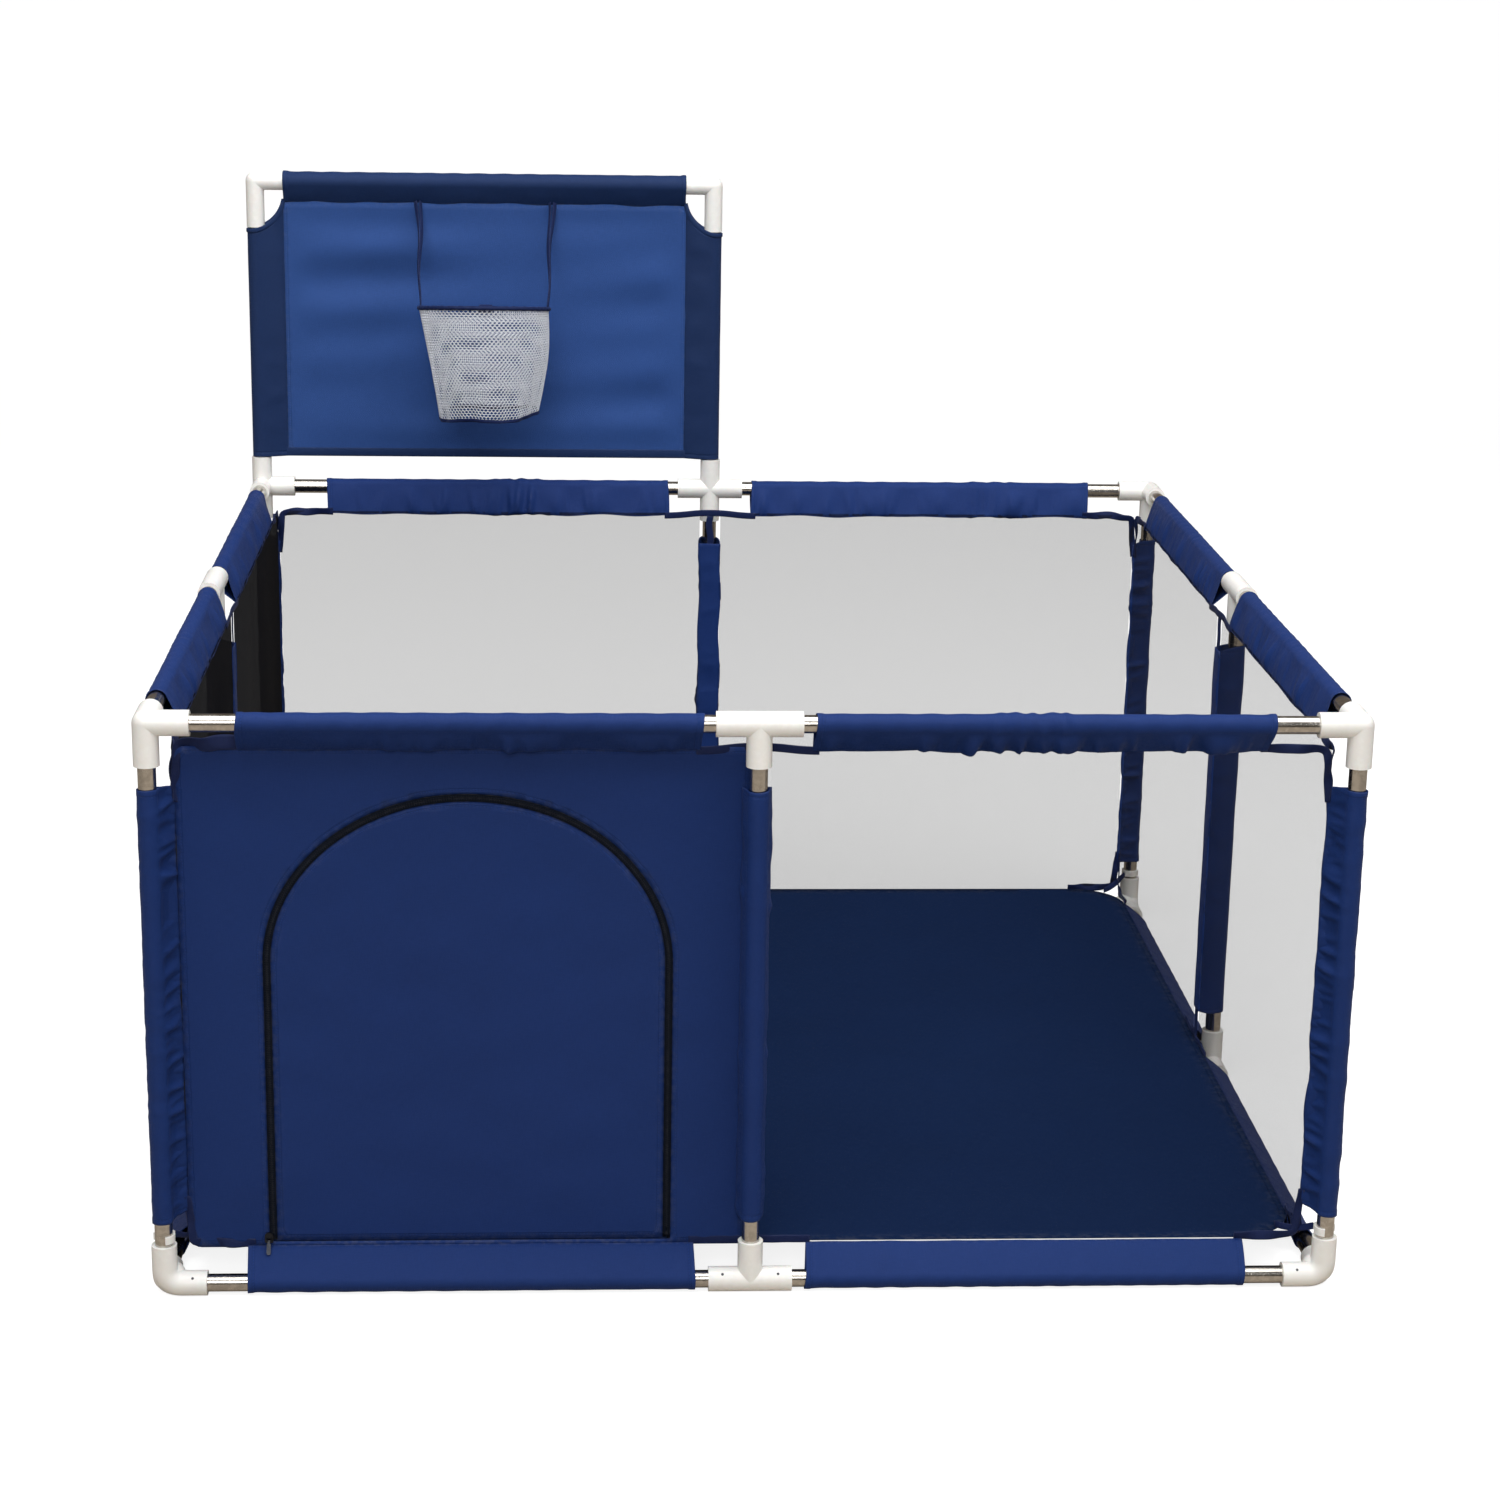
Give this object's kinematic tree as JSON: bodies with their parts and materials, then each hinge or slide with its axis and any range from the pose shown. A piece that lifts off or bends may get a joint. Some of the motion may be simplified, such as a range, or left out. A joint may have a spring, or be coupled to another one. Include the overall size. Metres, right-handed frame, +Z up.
{
  "type": "play yard",
  "caption": "Square tube-framed play yard with mesh walls, fabric floor, arched zip door and a raised board with a small ball hoop.",
  "frame": {"origin": "on the floor, at the centre of the square frame", "axes": "+X to the right seen from the door side, +Y to the side with the ball board, +Z up"},
  "size_m": [1.281, 1.281, 1.071],
  "materials": {
    "tube_steel": "polished stainless tube",
    "white_plastic": "warm white moulded plastic, satin",
    "dark_steel": "black screws",
    "blue_cloth": "royal blue coated woven polyester",
    "board_cloth": "royal blue woven polyester, single layer",
    "floor_cloth": "navy coated woven polyester",
    "pale_mesh": "pale grey open mesh",
    "dark_mesh": "black open mesh",
    "navy_webbing": "navy binding tape",
    "zip_tape": "black zip tape with moulded teeth",
    "zip_metal": "plated zip slider",
    "wire_steel": "sprung steel wire",
    "net_knit": "pale grey knitted net"
  },
  "bodies": {
    "yard_frame": {"top_rail_front": "tube_steel", "top_rail_right": "tube_steel", "top_rail_back": "tube_steel", "top_rail_left": "tube_steel", "bottom_rail_front": "tube_steel", "bottom_rail_right": "tube_steel", "bottom_rail_back": "tube_steel", "bottom_rail_left": "tube_steel", "corner_posts": "tube_steel", "mid_posts": "tube_steel", "top_corner_front_left": "white_plastic", "top_corner_front_right": "white_plastic", "top_corner_back_right": "white_plastic", "top_corner_back_left": "white_plastic", "top_tee_front": "white_plastic", "top_tee_right": "white_plastic", "top_cross_back": "white_plastic", "top_tee_left": "white_plastic", "bottom_corner_front_left": "white_plastic", "bottom_corner_front_right": "white_plastic", "bottom_corner_back_right": "white_plastic", "bottom_corner_back_left": "white_plastic", "bottom_tee_front": "white_plastic", "bottom_tee_right": "white_plastic", "bottom_tee_back": "white_plastic", "bottom_tee_left": "white_plastic", "lock_screws": "dark_steel", "top_sleeve_front": "blue_cloth", "top_sleeve_right": "blue_cloth", "top_sleeve_back": "blue_cloth", "top_sleeve_left": "blue_cloth", "bottom_sleeves": "blue_cloth", "corner_post_sleeves": "blue_cloth", "mid_post_sleeves": "blue_cloth", "front_panel": "blue_cloth", "wall_front_right": "pale_mesh", "wall_right_front": "pale_mesh", "wall_right_back": "pale_mesh", "wall_back_right": "pale_mesh", "wall_back_left": "pale_mesh", "wall_left_back": "dark_mesh", "wall_left_front": "dark_mesh", "floor_sheet": "floor_cloth", "corner_ties": "navy_webbing", "tie_clips": "white_plastic", "zip_tape_fixed": "zip_tape"},
    "door": {"door_flap": "blue_cloth", "zip_tape_door": "zip_tape"},
    "slider": {"zip_slider": "zip_metal"},
    "pull": {"zip_pull": "zip_metal"},
    "board": {"board_posts": "tube_steel", "board_top_tube": "tube_steel", "board_elbows": "white_plastic", "board_cover": "board_cloth", "hoop_straps": "navy_webbing"},
    "hoop": {"hoop_wire": "wire_steel", "hoop_rim": "navy_webbing", "ball_net": "net_knit"}
  },
  "joints": [
    {"name": "door_swing", "type": "hinge", "parent": "yard_frame", "child": "door", "pos_m": [-0.301, -0.604, 0.0514], "axis": [1, 0, 0], "range_deg": [0, 95]},
    {"name": "slider_travel", "type": "slide", "parent": "yard_frame", "child": "slider", "axis": [0, 0, 1], "range_m": [0, 0.3]},
    {"name": "pull_swing", "type": "hinge", "parent": "slider", "child": "pull", "pos_m": [-0.51685, -0.6096, 0.0533], "axis": [-1, 0, 0], "range_deg": [0, 150]},
    {"name": "board_lift", "type": "slide", "parent": "yard_frame", "child": "board", "axis": [0, 0, 1], "range_m": [0, 0.06]},
    {"name": "hoop_fold", "type": "hinge", "parent": "board", "child": "hoop", "pos_m": [-0.313, 0.6213, 0.88582], "axis": [-1, 0, 0], "range_deg": [0, 75], "deforming": ["hoop_straps"]}
  ]
}
